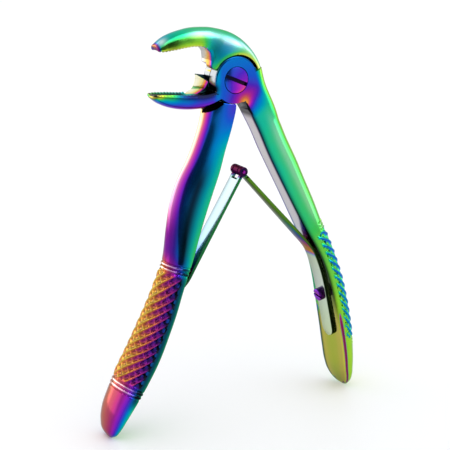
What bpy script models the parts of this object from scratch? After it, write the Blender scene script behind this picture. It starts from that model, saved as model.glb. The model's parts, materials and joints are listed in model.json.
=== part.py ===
"""Extraction forceps for small teeth: two crossed levers, a lap joint and a double leaf spring.

The frame is metres with +Z up. The forceps stand open on the ends of their two handles, the pivot's
axis lies along Y, and the beaks point to -X. The near side is -Y. Lengths below are millimetres,
and points in the XZ plane are measured from the pivot.
"""

import math

import bmesh
import bpy
import numpy as np
from mathutils import Matrix, Vector

MM = 0.001
PART = "extraction_forceps"

# Joint
PIVOT_HEIGHT = 106.9  # pivot axis above the surface under the handle ends
PIVOT_X = -0.78  # pivot axis from the middle of the stance
JOINT_HALF = 3.9  # half the joint's thickness along Y
LAP_GAP = 0.3  # between the two laps of the joint
RUN_GAP = 0.35  # between a lap's disc and the seat that it turns in
DISC_RADIUS = 7.2
SEAT_RADIUS = DISC_RADIUS + RUN_GAP
SHOULDER_TIP_INNER = SEAT_RADIUS - 0.6  # radii of the upper shoulder's end face
SHOULDER_TIP_OUTER = 9.65
HAIR = 0.001  # keeps two faces from lying in one plane

# Pivot screw
SCREW_HEAD_RADIUS = 3.9
SCREW_HEAD_DEPTH = 1.7
SCREW_SHANK_RADIUS = 2.2
SCREW_GAP = 0.3
SLOT_WIDTH = 0.95
SLOT_DEPTH = 0.9
PIVOT_SLOT_ANGLE = 24.0  # degrees, falling to the right seen from the near side
SHANK_OVERLAP = 0.2  # of the shank into the head
SHANK_RECESS = 0.15  # of the shank's end below the far face

# Leaf springs
LEAF_THICK = 0.9
LEAF_HALF_WIDTH = 2.9
LEAF_GAP = 0.35  # between a leaf and the handle it lies on
FLEX_RADIUS = 64.0  # from the pivot to where each leaf leaves its handle
FOOT_END_RADIUS = 96.5  # from the pivot to the loose end of each leaf's foot
SPRING_SCREW_RADIUS = 81.5  # from the pivot to the screw through the foot
APEX = (3.2, -28.7)  # where the two leaves meet
FLEX_GAP = 0.35  # between a foot and its blade
KNUCKLE_RADIUS = 1.5
PIN_RADIUS = 0.55
PIN_GAP = 0.5
TONGUE_HALF = 1.25  # half width of the middle knuckle
LUG_GAP = 0.35  # between the middle knuckle and the outer two
KNUCKLE_OVERLAP = 0.3  # of a blade into its knuckle

# Spring screws
SPRING_HEAD_RADIUS = 2.1
SPRING_HEAD_HEIGHT = 1.9
SPRING_SHANK_RADIUS = 1.0
SPRING_SHANK_DEPTH = 3.6
SPRING_SHANK_OVERLAP = 0.3  # of the shank into the head
SPRING_SLOT_WIDTH = 0.7
SPRING_SLOT_DEPTH = 0.7

# Sections
HANDLE_FLANK = 0.12  # share of a handle's thickness below its crown
HANDLE_FACE = 0.86  # share of a handle's width that is its flat inner face
BEAK_FLANK = 0.2  # share of a beak's height below its crown
BEAK_CROWN = 0.8  # power of the crown's cosine: lower is squarer
BEAK_EDGE = 0.9  # share of a beak's width between the outsides of its edges
BEAK_HOLLOW = 0.8  # share of a beak's width that is hollow

# Fineness
HANDLE_RINGS = 30
BEAK_RINGS = 16
CROWN_POINTS = 10
HOLLOW_POINTS = 5
FOOT_POINTS = 9
CURVE_POINTS = 400
DISC_SIDES = 56
HEAD_SIDES = 28
ROD_SIDES = 24
SHANK_SIDES = 20
KNUCKLE_SIDES = 20
PIN_SIDES = 16
SMOOTH_ANGLE = 35.0  # degrees between faces shaded as one surface

# Film colours
TEAL = (0.05, 0.45, 0.35)
NAVY = (0.1, 0.15, 0.6)
INDIGO = (0.2, 0.1, 0.6)
VIOLET = (0.3, 0.1, 0.5)
PLUM = (0.3, 0.1, 0.4)
PALE_BLUE = (0.3, 0.75, 0.85)
LEAF_GREEN = (0.3, 0.5, 0.1)
OLIVE = (0.4, 0.4, 0.1)
DARK_GREEN = (0.1, 0.2, 0.15)
FILM_ROUGHNESS = 0.18

# Handle stations: inner face x and z, thickness in the plane, half width along Y.
RIGHT_HANDLE = (
    (3.6, -7.2, 8.2, 3.75),
    (5.0, -10.0, 8.6, 3.7),
    (8.6, -16.9, 8.8, 3.5),
    (12.0, -24.2, 8.8, 3.35),
    (15.5, -31.0, 8.8, 3.3),
    (19.2, -38.0, 8.4, 3.4),
    (23.0, -45.2, 8.0, 3.8),
    (26.6, -51.8, 7.2, 4.4),
    (30.0, -57.8, 6.6, 5.0),
    (32.5, -63.2, 6.4, 5.5),
    (34.5, -69.0, 6.6, 6.0),
    (36.1, -75.5, 6.7, 6.5),
    (37.5, -81.5, 6.6, 6.8),
    (38.8, -88.0, 6.3, 7.0),
    (39.9, -94.5, 5.8, 7.0),
    (40.8, -100.0, 4.9, 6.5),
    (41.9, -104.2, 3.3, 5.0),
    (43.3, -106.9, 1.1, 2.4),
)
LEFT_HANDLE = (
    (0.2, -7.4, 9.2, 3.75),
    (-0.4, -10.0, 9.4, 3.7),
    (-1.8, -15.2, 9.2, 3.5),
    (-3.6, -20.8, 9.2, 3.35),
    (-5.6, -27.5, 10.4, 3.3),
    (-8.2, -34.4, 11.2, 3.3),
    (-10.6, -40.6, 10.8, 3.4),
    (-12.8, -46.4, 9.6, 3.8),
    (-15.0, -52.0, 8.0, 4.4),
    (-17.6, -57.6, 6.6, 5.0),
    (-20.1, -63.3, 6.4, 5.5),
    (-22.4, -69.2, 6.7, 6.0),
    (-25.2, -75.6, 7.0, 6.5),
    (-28.6, -83.0, 7.3, 6.9),
    (-32.6, -90.0, 7.1, 7.0),
    (-36.4, -95.8, 6.2, 6.9),
    (-39.6, -100.6, 4.9, 6.2),
    (-41.2, -104.0, 3.1, 4.8),
    (-42.4, -106.9, 1.0, 2.4),
)

# Beak stations, root to tip: back x and z, edge x and z, half width, hollow depth.
UPPER_BEAK = (
    (-4.4, 15.3, -6.6, 8.0, 3.9, 0.0),
    (-8.7, 16.1, -9.0, 9.9, 3.8, 0.3),
    (-13.3, 16.2, -12.8, 11.1, 3.6, 0.9),
    (-17.0, 15.7, -16.2, 10.9, 3.4, 1.2),
    (-20.0, 14.8, -19.2, 10.5, 3.25, 1.2),
    (-22.5, 13.7, -21.7, 10.25, 3.1, 1.0),
    (-24.7, 12.4, -23.9, 10.1, 2.9, 0.7),
    (-26.2, 11.2, -25.6, 10.2, 2.3, 0.2),
)
LOWER_BEAK = (
    (-2.6, -5.2, -3.8, -1.2, 3.8, 0.0),
    (-6.3, -6.8, -7.0, -2.9, 3.8, 0.0),
    (-10.4, -7.9, -10.4, -3.2, 3.75, 0.4),
    (-13.6, -8.0, -13.4, -3.2, 3.6, 1.0),
    (-16.8, -7.7, -16.5, -2.95, 3.45, 1.2),
    (-20.1, -7.0, -19.7, -2.7, 3.3, 1.2),
    (-23.1, -5.9, -22.7, -2.45, 3.1, 1.0),
    (-25.6, -4.6, -25.3, -2.3, 2.9, 0.6),
    (-27.6, -3.1, -27.4, -2.2, 2.2, 0.2),
)

# Outlines of the joint's shoulders, anticlockwise seen from the near side.
STOP_ANGLE = 23.5  # degrees above +X, where the upper shoulder meets the lower lever
UPPER_SHOULDER = (
    (7.3, 7.5),
    (5.2, 10.2),
    (2.6, 12.4),
    (-0.7, 14.2),
    (-4.4, 15.3),
    (-8.7, 16.0),
    (-9.1, 10.2),
    (-8.4, 8.2),
    (-8.2, 6.2),
    (-8.3, 4.6),
    (-5.6, 2.9),
)
LOWER_SHOULDER = (
    (-4.0, -1.0),
    (-4.0, 0.1),
    (-9.6, 0.4),
    (-9.9, -1.4),
    (-10.8, -3.1),
    (-11.6, -3.6),
    (-11.2, -7.6),
    (-8.3, -7.3),
    (-6.2, -6.3),
    (-4.0, -3.8),
)
RIGHT_NECK = (
    (9.7, 0.0),
    (8.95, 3.25),
    (4.0, 1.4),
    (1.0, -3.0),
    (3.5, -6.9),
    (6.3, -12.4),
    (12.6, -9.4),
    (12.2, -6.0),
    (10.8, -2.4),
)
# The underside of the lower beak's root, from the beak to the disc. The left handle ends below it.
ROOT_LINE = ((-12.6, -8.15), (-10.4, -7.95), (-8.3, -7.45), (-6.3, -6.65), (-4.7, -5.7), (-3.6, -4.4))
ROOT_GAP = 0.7
RELIEF_TOP = -1.0  # heights beyond the two cuts that follow the line
TRIM_BOTTOM = -12.0


def smooth_stations(stations, count):
    """Points on a smooth curve through the stations, evenly spaced in the plane of the first two."""
    known = np.array(stations, dtype=float)
    steps = np.hypot(*np.diff(known[:, :2], axis=0).T)
    along = np.concatenate([[0.0], np.cumsum(steps)])
    slopes = np.gradient(known, along, axis=0)
    out = []
    for s in np.linspace(0.0, along[-1], count):
        i = int(min(np.searchsorted(along, s, side="right") - 1, len(known) - 2))
        span = along[i + 1] - along[i]
        t = (s - along[i]) / span
        a = (1 + 2 * t) * (1 - t) ** 2
        b = t * (1 - t) ** 2 * span
        c = t * t * (3 - 2 * t)
        d = t * t * (t - 1) * span
        out.append(a * known[i] + b * slopes[i] + c * known[i + 1] + d * slopes[i + 1])
    return np.array(out)


def across(curve):
    """Unit tangents of a curve in the XZ plane, and its normals turned a quarter anticlockwise."""
    tangent = np.gradient(curve, axis=0)
    tangent /= np.hypot(*tangent.T)[:, None]
    return tangent, np.column_stack([-tangent[:, 1], tangent[:, 0]])


def loft(rings):
    """A closed mesh through rings of equal length, with flat ends."""
    bm = bmesh.new()
    rows = [[bm.verts.new(point) for point in ring] for ring in rings]
    for low, high in zip(rows, rows[1:]):
        for i in range(len(low)):
            j = (i + 1) % len(low)
            bm.faces.new((low[i], low[j], high[j], high[i]))
    bm.faces.new(rows[0])
    bm.faces.new(rows[-1])
    bmesh.ops.recalc_face_normals(bm, faces=bm.faces)
    if bm.calc_volume(signed=True) < 0:
        bmesh.ops.reverse_faces(bm, faces=bm.faces)
    return bm


def prism(outline, low_y, high_y):
    """An outline in the XZ plane, extruded along Y."""
    return loft([[(x, y, z) for x, z in outline] for y in (low_y, high_y)])


def cylinder(radius, low_y, high_y, centre=(0.0, 0.0), sides=DISC_SIDES):
    """A cylinder along Y."""
    bm = bmesh.new()
    middle = Vector((centre[0], (low_y + high_y) / 2, centre[1]))
    bmesh.ops.create_cone(
        bm,
        cap_ends=True,
        segments=sides,
        radius1=radius,
        radius2=radius,
        depth=high_y - low_y,
        matrix=Matrix.Translation(middle) @ Matrix.Rotation(math.pi / 2, 4, "X"),
    )
    return bm


def aimed(bm, start, direction):
    """Moves a mesh built along +Z from the origin so that it starts at start, along direction."""
    turn = Vector((0, 0, 1)).rotation_difference(Vector((direction[0], 0, direction[1])))
    shift = Matrix.Translation(Vector((start[0], 0, start[1])))
    bmesh.ops.transform(bm, matrix=shift @ turn.to_matrix().to_4x4(), verts=bm.verts)
    return bm


def rod(radius, low, high, sides=ROD_SIDES):
    """A cylinder along +Z from low to high."""
    bm = bmesh.new()
    bmesh.ops.create_cone(
        bm,
        cap_ends=True,
        segments=sides,
        radius1=radius,
        radius2=radius,
        depth=high - low,
        matrix=Matrix.Translation((0, 0, (low + high) / 2)),
    )
    return bm


def block(size, centre):
    """A box of the given size about a centre."""
    bm = bmesh.new()
    scale = Matrix.Diagonal((*size, 1.0))
    bmesh.ops.create_cube(bm, size=1.0, matrix=Matrix.Translation(centre) @ scale)
    return bm


def handle_loft(stations, outward):
    """A handle: flat inner face, crowned outer face. outward is +1 for the right one, -1 for the left."""
    curve = smooth_stations(stations, HANDLE_RINGS)
    _, normal = across(curve[:, :2])
    angles = np.linspace(-math.pi / 2, math.pi / 2, CROWN_POINTS)
    rings = []
    for (x, z, thick, half), n in zip(curve, normal):
        n = n * outward
        crown = thick * (HANDLE_FLANK + (1 - HANDLE_FLANK) * np.cos(angles))
        depth = np.concatenate([[0.0], crown, [0.0]])
        width = half * np.concatenate([[-HANDLE_FACE], np.sin(angles), [HANDLE_FACE]])
        rings.append([(x + n[0] * d, w, z + n[1] * d) for d, w in zip(depth, width)])
    return loft(rings)


def beak_loft(stations):
    """A beak: crowned back, hollow between its two edges."""
    curve = smooth_stations(stations, BEAK_RINGS)
    angles = np.linspace(-math.pi / 2, math.pi / 2, CROWN_POINTS)
    hollow = np.linspace(BEAK_HOLLOW, -BEAK_HOLLOW, HOLLOW_POINTS)
    rings = []
    for bx, bz, ex, ez, half, deep in curve:
        up = np.array([bx - ex, bz - ez])
        tall = np.hypot(*up)
        up = up / tall
        crown = tall * (BEAK_FLANK + (1 - BEAK_FLANK) * np.cos(angles) ** BEAK_CROWN)
        trough = deep * (1 - hollow[1:-1] ** 2)
        height = np.concatenate([crown, [0.0], trough, [0.0]])
        width = half * np.concatenate([np.sin(angles), [BEAK_EDGE], hollow[1:-1], [-BEAK_EDGE]])
        rings.append([(ex + up[0] * h, w, ez + up[1] * h) for h, w in zip(height, width)])
    return loft(rings)


def material(name, colour):
    """A polished, oxide-coloured steel."""
    mat = bpy.data.materials.new(name)
    mat.use_nodes = True
    shader = mat.node_tree.nodes["Principled BSDF"]
    shader.inputs["Base Color"].default_value = (*colour, 1.0)
    shader.inputs["Metallic"].default_value = 1.0
    shader.inputs["Roughness"].default_value = FILM_ROUGHNESS
    return mat


def collection(name):
    """A new collection in the scene."""
    made = bpy.data.collections.new(name)
    bpy.context.scene.collection.children.link(made)
    return made


def place(name, bm, origin, group):
    """An object from a mesh in millimetres about the pivot, with its origin at a point of that frame."""
    back = Matrix.Diagonal((MM, MM, MM, 1.0)) @ Matrix.Translation(-Vector(origin))
    bmesh.ops.transform(bm, matrix=back, verts=bm.verts)
    mesh = bpy.data.meshes.new(name)
    bm.to_mesh(mesh)
    bm.free()
    obj = bpy.data.objects.new(name, mesh)
    obj.location = (Vector(origin) + Vector((PIVOT_X, 0, PIVOT_HEIGHT))) * MM
    group.objects.link(obj)
    return obj


def node(name, bm, colour, parts, origin=(0.0, 0.0, 0.0)):
    """A sub-part with its own material."""
    obj = place(name, bm, origin, parts)
    obj.data.materials.append(material(name, colour))
    obj.data.shade_smooth()
    obj.data.set_sharp_from_angle(angle=math.radians(SMOOTH_ANGLE))
    return obj


def combine(obj, name, bm, operation, tools):
    """Joins a shape to a sub-part, or cuts it out."""
    tool = place(name, bm, (0.0, 0.0, 0.0), tools)
    tool.hide_render = True
    tool.display_type = "WIRE"
    change = obj.modifiers.new(name, "BOOLEAN")
    change.operation = operation
    change.solver = "EXACT"
    change.object = tool


def shoulder_start(radius, angle=STOP_ANGLE):
    """A point at an angle about the pivot."""
    return radius * math.cos(math.radians(angle)), radius * math.sin(math.radians(angle))


def face_at(stations, radius):
    """The point of a handle's inner face at a radius from the pivot, and the face's direction there."""
    curve = smooth_stations(stations, CURVE_POINTS)[:, :2]
    tangent, _ = across(curve)
    i = int(np.argmin(abs(np.hypot(*curve.T) - radius)))
    return curve[i], tangent[i]


def foot_curve(stations, inward, first, last, offset):
    """Points beside a handle's inner face between two radii, offset from it, first to last."""
    curve = smooth_stations(stations, CURVE_POINTS)[:, :2]
    _, normal = across(curve)
    radius = np.hypot(*curve.T)
    keep = (radius >= first) & (radius <= last)
    points = curve[keep] + normal[keep] * inward * offset
    return points[np.linspace(0, len(points) - 1, FOOT_POINTS).astype(int)]


def strip(points, thick, half_width):
    """A flat strip of metal whose middle follows points in the XZ plane."""
    points = np.array(points)
    _, normal = across(points)
    rings = []
    for (x, z), n in zip(points, normal):
        ring = []
        for side, y in ((-1, -1), (1, -1), (1, 1), (-1, 1)):
            d = side * thick / 2
            ring.append((x + n[0] * d, y * half_width, z + n[1] * d))
        rings.append(ring)
    return loft(rings)


def upper_lever(parts, tools):
    """Far lap with the upper beak and the left handle, with the seat for the near lap."""
    tip_inner = shoulder_start(SHOULDER_TIP_INNER)
    tip_outer = shoulder_start(SHOULDER_TIP_OUTER)
    lever = node(
        "upper_beak_lever",
        prism((tip_inner, tip_outer, *UPPER_SHOULDER), -JOINT_HALF, JOINT_HALF),
        TEAL,
        parts,
    )
    combine(lever, "upper_beak", beak_loft(UPPER_BEAK), "UNION", tools)
    combine(lever, "left_handle", handle_loft(LEFT_HANDLE, -1), "UNION", tools)
    lowered = [(x, z - ROOT_GAP) for x, z in ROOT_LINE]
    room = ((ROOT_LINE[-1][0], RELIEF_TOP), (ROOT_LINE[0][0], RELIEF_TOP))
    relief = prism((*lowered, *room), -2 * JOINT_HALF, 2 * JOINT_HALF)
    combine(lever, "beak_relief", relief, "DIFFERENCE", tools)
    combine(
        lever,
        "near_seat",
        cylinder(SEAT_RADIUS, -2 * JOINT_HALF, LAP_GAP / 2 - HAIR),
        "DIFFERENCE",
        tools,
    )
    combine(lever, "far_lap", cylinder(DISC_RADIUS, LAP_GAP / 2, JOINT_HALF), "UNION", tools)
    cut_screw_hole(lever, "far_screw_hole", tools, False)
    cut_foot_hole(lever, "left_foot_hole", LEFT_HANDLE, -1, tools)
    return lever


def lower_lever(parts, tools):
    """Near lap with the lower beak and the right handle, with the seat for the far lap."""
    lever = node(
        "lower_beak_lever",
        prism(RIGHT_NECK, -JOINT_HALF, JOINT_HALF),
        NAVY,
        parts,
    )
    combine(lever, "lower_shoulder", prism(LOWER_SHOULDER, 0.0, JOINT_HALF), "UNION", tools)
    combine(lever, "lower_beak", beak_loft(LOWER_BEAK), "UNION", tools)
    combine(lever, "right_handle", handle_loft(RIGHT_HANDLE, 1), "UNION", tools)
    combine(
        lever,
        "far_seat",
        cylinder(SEAT_RADIUS, -LAP_GAP / 2 + HAIR, 2 * JOINT_HALF),
        "DIFFERENCE",
        tools,
    )
    below = ((ROOT_LINE[-1][0], TRIM_BOTTOM), (ROOT_LINE[0][0], TRIM_BOTTOM))
    trim = prism((*ROOT_LINE, *below), -2 * JOINT_HALF, 2 * JOINT_HALF)
    combine(lever, "root_trim", trim, "DIFFERENCE", tools)
    combine(lever, "near_lap", cylinder(DISC_RADIUS, -JOINT_HALF, -LAP_GAP / 2), "UNION", tools)
    cut_screw_hole(lever, "near_screw_hole", tools, True)
    cut_foot_hole(lever, "right_foot_hole", RIGHT_HANDLE, 1, tools)
    return lever


def cut_screw_hole(lever, name, tools, with_head):
    """The pivot screw's hole along Y, with the sunk seat for its head on the near lap."""
    radius = SCREW_SHANK_RADIUS + SCREW_GAP
    combine(lever, name, cylinder(radius, -3 * JOINT_HALF, 3 * JOINT_HALF), "DIFFERENCE", tools)
    if with_head:
        floor = -JOINT_HALF + SCREW_HEAD_DEPTH + SCREW_GAP
        seat = cylinder(SCREW_HEAD_RADIUS + SCREW_GAP, -3 * JOINT_HALF, floor)
        combine(lever, name + "_seat", seat, "DIFFERENCE", tools)


def cut_foot_hole(lever, name, stations, outward, tools):
    """The hole in a handle's inner face for its spring screw."""
    point, tangent = face_at(stations, SPRING_SCREW_RADIUS)
    inward = -outward * np.array([-tangent[1], tangent[0]])
    hole = rod(SPRING_SHANK_RADIUS + SCREW_GAP, -SPRING_SHANK_DEPTH - SCREW_GAP, LEAF_HALF_WIDTH)
    combine(lever, name, aimed(hole, point, inward), "DIFFERENCE", tools)


def pivot_screw(parts, tools):
    """Slotted screw through both laps, flush on both sides."""
    top = -JOINT_HALF
    head = cylinder(SCREW_HEAD_RADIUS, top, top + SCREW_HEAD_DEPTH)
    screw = node("pivot_screw", head, INDIGO, parts)
    start = top + SCREW_HEAD_DEPTH - SHANK_OVERLAP
    shank = cylinder(SCREW_SHANK_RADIUS, start, JOINT_HALF - SHANK_RECESS)
    combine(screw, "pivot_shank", shank, "UNION", tools)
    slot = block((3 * SCREW_HEAD_RADIUS, 2 * SLOT_DEPTH, SLOT_WIDTH), (0.0, top, 0.0))
    turn = Matrix.Rotation(math.radians(PIVOT_SLOT_ANGLE), 4, "Y")
    bmesh.ops.transform(slot, matrix=turn, verts=slot.verts)
    combine(screw, "pivot_slot", slot, "DIFFERENCE", tools)
    return screw


def spring_screw(name, stations, outward, colour, parts, tools):
    """Slotted cheese-head screw that holds a leaf's foot to its handle."""
    point, tangent = face_at(stations, SPRING_SCREW_RADIUS)
    inward = -outward * np.array([-tangent[1], tangent[0]])
    base = LEAF_GAP + LEAF_THICK + SCREW_GAP
    origin = (point[0], 0.0, point[1])
    head = aimed(rod(SPRING_HEAD_RADIUS, base, base + SPRING_HEAD_HEIGHT, HEAD_SIDES), point, inward)
    screw = node(name, head, colour, parts, origin)
    shank = rod(SPRING_SHANK_RADIUS, -SPRING_SHANK_DEPTH, base + SPRING_SHANK_OVERLAP, SHANK_SIDES)
    combine(screw, name + "_shank", aimed(shank, point, inward), "UNION", tools)
    slot_size = (3 * SPRING_HEAD_RADIUS, SPRING_SLOT_WIDTH, 2 * SPRING_SLOT_DEPTH)
    slot = block(slot_size, (0.0, 0.0, base + SPRING_HEAD_HEIGHT))
    combine(screw, name + "_slot", aimed(slot, point, inward), "DIFFERENCE", tools)
    return screw


def spring_foot(name, stations, outward, colour, parts, tools):
    """The part of a leaf that lies on its handle's inner face, under the screw."""
    offset = LEAF_GAP + LEAF_THICK / 2
    points = foot_curve(stations, -outward, FLEX_RADIUS + FLEX_GAP, FOOT_END_RADIUS, offset)
    foot = node(name, strip(points, LEAF_THICK, LEAF_HALF_WIDTH), colour, parts)
    point, tangent = face_at(stations, SPRING_SCREW_RADIUS)
    inward = -outward * np.array([-tangent[1], tangent[0]])
    hole = rod(SPRING_SHANK_RADIUS + SCREW_GAP, -LEAF_THICK, LEAF_GAP + 2 * LEAF_THICK)
    combine(foot, name + "_hole", aimed(hole, point, inward), "DIFFERENCE", tools)
    return foot


def flex_point(stations, outward):
    """Where a leaf starts to leave its handle: the axis of its blade."""
    return foot_curve(stations, -outward, FLEX_RADIUS, FOOT_END_RADIUS, LEAF_GAP + LEAF_THICK / 2)[0]


def blade_curve(flex):
    """The middle of a blade from its flexing end to the knuckle."""
    start = np.array(flex)
    end = np.array(APEX)
    direction = (end - start) / np.hypot(*(end - start))
    first = start + direction * FLEX_GAP / 2
    last = end - direction * (KNUCKLE_RADIUS - KNUCKLE_OVERLAP)
    return [first, (start + end) / 2, last]


def ring_y(radius, low_y, high_y, sides=KNUCKLE_SIDES):
    """A knuckle barrel at the apex."""
    return cylinder(radius, low_y, high_y, APEX, sides)


def left_blade(parts, tools):
    """The left leaf's free arm, with the two outer knuckles that hold the pin."""
    flex = flex_point(LEFT_HANDLE, -1)
    origin = (flex[0], 0.0, flex[1])
    arm = strip(blade_curve(flex), LEAF_THICK, LEAF_HALF_WIDTH)
    blade = node("left_spring_blade", arm, PALE_BLUE, parts, origin)
    gap_size = (4 * KNUCKLE_RADIUS, 2 * (TONGUE_HALF + LUG_GAP), 5 * KNUCKLE_RADIUS)
    gap = block(gap_size, (APEX[0], 0.0, APEX[1]))
    combine(blade, "left_fork", gap, "DIFFERENCE", tools)
    for side, low in (("near", -LEAF_HALF_WIDTH), ("far", TONGUE_HALF + LUG_GAP)):
        high = low + LEAF_HALF_WIDTH - TONGUE_HALF - LUG_GAP
        combine(blade, "left_knuckle_" + side, ring_y(KNUCKLE_RADIUS, low, high), "UNION", tools)
    bore = ring_y(PIN_RADIUS + PIN_GAP, -2 * LEAF_HALF_WIDTH, 2 * LEAF_HALF_WIDTH)
    combine(blade, "left_pin_hole", bore, "DIFFERENCE", tools)
    return blade


def right_blade(parts, tools):
    """The right leaf's free arm, with the middle knuckle."""
    flex = flex_point(RIGHT_HANDLE, 1)
    origin = (flex[0], 0.0, flex[1])
    arm = strip(blade_curve(flex), LEAF_THICK, LEAF_HALF_WIDTH)
    blade = node("right_spring_blade", arm, LEAF_GREEN, parts, origin)
    for side in (-1, 1):
        wide = LEAF_HALF_WIDTH
        centre = (APEX[0], side * (TONGUE_HALF + wide), APEX[1])
        gap = block((5 * KNUCKLE_RADIUS, 2 * wide, 5 * KNUCKLE_RADIUS), centre)
        name = "near" if side < 0 else "far"
        combine(blade, "right_shoulder_" + name, gap, "DIFFERENCE", tools)
    combine(blade, "right_knuckle", ring_y(KNUCKLE_RADIUS, -TONGUE_HALF, TONGUE_HALF), "UNION", tools)
    bore = ring_y(PIN_RADIUS + PIN_GAP, -2 * LEAF_HALF_WIDTH, 2 * LEAF_HALF_WIDTH)
    combine(blade, "right_pin_hole", bore, "DIFFERENCE", tools)
    return blade


def main():
    """Builds the ten sub-parts."""
    for obj in list(bpy.data.objects):
        bpy.data.objects.remove(obj)
    parts = collection(PART)
    tools = collection("cutters")
    upper_lever(parts, tools)
    lower_lever(parts, tools)
    pivot_screw(parts, tools)
    spring_foot("left_spring_foot", LEFT_HANDLE, -1, DARK_GREEN, parts, tools)
    spring_foot("right_spring_foot", RIGHT_HANDLE, 1, OLIVE, parts, tools)
    left_blade(parts, tools)
    right_blade(parts, tools)
    pin = ring_y(PIN_RADIUS, -LEAF_HALF_WIDTH, LEAF_HALF_WIDTH, PIN_SIDES)
    node("spring_hinge_pin", pin, PLUM, parts)
    spring_screw("left_spring_screw", LEFT_HANDLE, -1, VIOLET, parts, tools)
    spring_screw("right_spring_screw", RIGHT_HANDLE, 1, VIOLET, parts, tools)


main()
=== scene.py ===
"""Looks of the extraction forceps: forged levers in rainbow-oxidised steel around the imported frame.

Shapes are built in millimetres about the pivot (X right, Z up, -Y towards the viewer) and placed
in the frame at the main joint's position.
"""

import json
import math

import bmesh
import bpy
import numpy as np
from mathutils import Matrix, Vector


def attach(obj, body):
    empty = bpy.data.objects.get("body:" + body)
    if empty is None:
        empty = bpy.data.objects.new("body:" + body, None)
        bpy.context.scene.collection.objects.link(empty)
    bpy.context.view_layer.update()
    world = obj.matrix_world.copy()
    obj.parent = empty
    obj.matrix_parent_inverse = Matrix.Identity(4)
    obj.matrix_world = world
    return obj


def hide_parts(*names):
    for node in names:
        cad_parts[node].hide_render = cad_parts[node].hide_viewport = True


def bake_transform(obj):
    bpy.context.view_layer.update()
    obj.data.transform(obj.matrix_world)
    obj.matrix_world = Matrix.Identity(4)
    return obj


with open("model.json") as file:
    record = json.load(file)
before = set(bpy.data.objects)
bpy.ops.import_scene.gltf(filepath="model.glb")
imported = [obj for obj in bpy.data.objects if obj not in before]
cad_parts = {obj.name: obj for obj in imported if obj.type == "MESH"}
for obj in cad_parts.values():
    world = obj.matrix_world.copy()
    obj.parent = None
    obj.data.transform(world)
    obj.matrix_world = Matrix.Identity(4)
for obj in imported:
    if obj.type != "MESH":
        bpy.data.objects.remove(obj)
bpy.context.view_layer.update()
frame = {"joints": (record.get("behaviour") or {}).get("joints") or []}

MM = 0.001
JOINTS = {joint["name"]: joint for joint in frame["joints"]}
PIVOT = Vector(JOINTS["main_pivot"]["pos_m"])

# Joint, as in the CAD.
JOINT_HALF = 3.9
DISC_RADIUS = 7.2
SEAT_RADIUS = 7.34
LAP_GAP = 0.3
STOP_ANGLE = 19.5
THROAT_END_ANGLE = 145.6
SHOULDER_TOP_ANGLE = 170.1
CROTCH_LINE = ((2.27, -4.46), (5.52, -11.78), (0.0, -13.0), (-4.0, -6.0))
NECK_JOIN = (13.6, -13.0)
HEAD_RADIUS = 3.9
HEAD_GAP = 0.1
HEAD_DEPTH = 1.7
SLOT_ANGLE = 24.0
KNURL_PITCH = 3.15

# Cutters reach past both faces, and their cores keep them off the laps' round wall.
OUT = 9.0
OFF_LAPS = 0.02
BORE_RADIUS = 2.3
ROUND = 160

# Leaf springs and their hinge.
LEAF_THICK = 1.0
LEAF_HALF = 2.9
LEAF_GAP = 0.05
FLEX_RADIUS = 64.0
FOOT_END_RADIUS = 96.5
SPRING_SCREW_RADIUS = 81.5
APEX = (3.2, -28.7)
KNUCKLE_RADIUS = 1.5
PIN_RADIUS = 0.55
TONGUE_HALF = 1.25
LUG_GAP = 0.3

# Distances from the pivot of the turned rings at the two ends of each knurled grip.
RINGS_LEFT = (60.0, 99.6)
RINGS_RIGHT = (58.4, 98.6)

# Handle stations: inner face x and z, thickness in the plane, half width along Y.
RIGHT_HANDLE = (
    (3.6, -7.2, 8.2, 3.75), (5.0, -10.0, 8.6, 3.7), (8.6, -16.9, 8.8, 3.5),
    (12.0, -24.2, 8.8, 3.35), (15.5, -31.0, 8.8, 3.3), (19.2, -38.0, 8.4, 3.4),
    (23.0, -45.2, 8.0, 3.8), (26.6, -51.8, 7.2, 4.4), (30.0, -57.8, 6.6, 5.0),
    (32.3, -63.2, 6.4, 5.5), (34.1, -69.0, 6.6, 6.0), (35.6, -75.5, 6.7, 6.5),
    (36.9, -81.5, 6.6, 6.8), (38.2, -88.0, 6.3, 7.0), (39.3, -94.5, 5.8, 7.0),
    (40.2, -100.0, 5.0, 6.6), (41.0, -103.0, 4.2, 6.0), (41.8, -105.1, 3.1, 4.7),
    (42.3, -106.2, 1.9, 3.1), (42.6, -106.6, 0.7, 1.5),
)
LEFT_HANDLE = (
    (0.4, -7.4, 9.3, 3.75), (-0.1, -10.0, 9.6, 3.7), (-1.4, -15.2, 9.5, 3.5),
    (-3.2, -20.8, 9.6, 3.35), (-5.2, -27.5, 10.6, 3.3), (-7.8, -34.4, 11.6, 3.3),
    (-10.2, -40.6, 11.3, 3.4), (-12.4, -46.4, 10.1, 3.8), (-14.5, -52.0, 8.6, 4.4),
    (-16.9, -57.6, 7.0, 5.0), (-19.3, -63.3, 6.7, 5.5), (-21.6, -69.2, 6.9, 6.0),
    (-24.5, -75.6, 7.1, 6.5), (-28.1, -83.0, 7.3, 6.9), (-32.3, -90.0, 7.1, 7.0),
    (-36.2, -95.8, 6.2, 6.9), (-39.3, -100.6, 5.0, 6.3), (-41.0, -103.8, 3.6, 5.3),
    (-41.9, -105.8, 2.3, 3.8), (-42.3, -106.9, 0.8, 1.7),
)

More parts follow.
